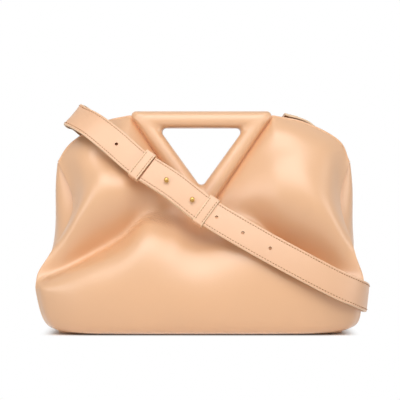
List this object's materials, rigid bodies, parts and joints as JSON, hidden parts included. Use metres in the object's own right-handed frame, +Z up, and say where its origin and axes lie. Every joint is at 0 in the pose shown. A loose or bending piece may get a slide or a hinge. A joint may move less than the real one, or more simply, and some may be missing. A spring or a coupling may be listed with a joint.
{
  "type": "handbag",
  "caption": "Soft leather handbag whose two halves each carry a stiff triangular handle, with a magnet-closed mouth, a two-part shoulder strap and a hanging zip pocket.",
  "frame": {"origin": "middle of the bottom panel, on the surface the bag stands on", "axes": "+X along the bag's length, to the right seen from the front; -Y towards the front; +Z up"},
  "size_m": [0.3522, 0.179, 0.2434],
  "materials": {
    "pale_leather": "smooth, softly glossy calf leather",
    "strap_leather": "flat, stitched strap leather",
    "suede_lining": "matt caramel suede",
    "fibreboard": "raw bonded fibre",
    "core_plastic": "moulded",
    "magnet_steel": "plated",
    "gold_brass": "polished",
    "zip_tape": "woven tape"
  },
  "bodies": {
    "base": {"base_panel": "pale_leather", "base_board": "fibreboard", "base_lining": "suede_lining", "left_gusset": "pale_leather", "right_gusset": "pale_leather"},
    "front_half": {"front_panel": "pale_leather", "front_lining": "suede_lining", "front_handle_cover": "pale_leather", "front_handle_core": "core_plastic", "front_handle_facing": "pale_leather", "front_magnet_left": "magnet_steel", "front_magnet_right": "magnet_steel", "strap_left": "strap_leather", "strap_right": "strap_leather", "strap_stud_upper": "gold_brass", "strap_stud_lower": "gold_brass"},
    "back_half": {"back_panel": "pale_leather", "back_lining": "suede_lining", "back_handle_cover": "pale_leather", "back_handle_core": "core_plastic", "back_handle_facing": "pale_leather", "back_magnet_left": "magnet_steel", "back_magnet_right": "magnet_steel", "strap_anchor_left": "strap_leather", "strap_anchor_right": "strap_leather", "pocket_bag": "suede_lining", "pocket_header": "pale_leather", "zip_tape_lower": "zip_tape", "zip_tape_upper": "zip_tape", "zip_teeth_lower": "gold_brass", "zip_teeth_upper": "gold_brass"},
    "keeper_upper": {"strap_keeper_upper": "strap_leather"},
    "keeper_lower": {"strap_keeper_lower": "strap_leather"},
    "slider": {"zip_slider": "gold_brass"},
    "pull": {"zip_pull": "strap_leather"}
  },
  "joints": [
    {"name": "front_open", "type": "hinge", "parent": "base", "child": "front_half", "pos_m": [0, -0.087, 0], "axis": [1, 0, 0], "range_deg": [0, 10], "deforming": ["left_gusset", "right_gusset", "strap_left", "strap_right"]},
    {"name": "back_open", "type": "hinge", "parent": "base", "child": "back_half", "pos_m": [0, 0.087, 0], "axis": [-1, 0, 0], "range_deg": [0, 10], "deforming": ["left_gusset", "right_gusset", "strap_left", "strap_right"]},
    {"name": "keeper_upper_slide", "type": "slide", "parent": "front_half", "child": "keeper_upper", "axis": [0.8002, -0.2223, -0.5571], "range_m": [-0.005, 0.005]},
    {"name": "keeper_lower_slide", "type": "slide", "parent": "front_half", "child": "keeper_lower", "axis": [0.8186, -0.1819, -0.5447], "range_m": [-0.005, 0.005]},
    {"name": "zip_slide", "type": "slide", "parent": "back_half", "child": "slider", "axis": [-1, 0, 0], "range_m": [0, 0.124]},
    {"name": "pull_swing", "type": "hinge", "parent": "slider", "child": "pull", "pos_m": [0.062, 0.0259, 0.084], "axis": [-1, 0, 0], "range_deg": [0, 80]}
  ]
}
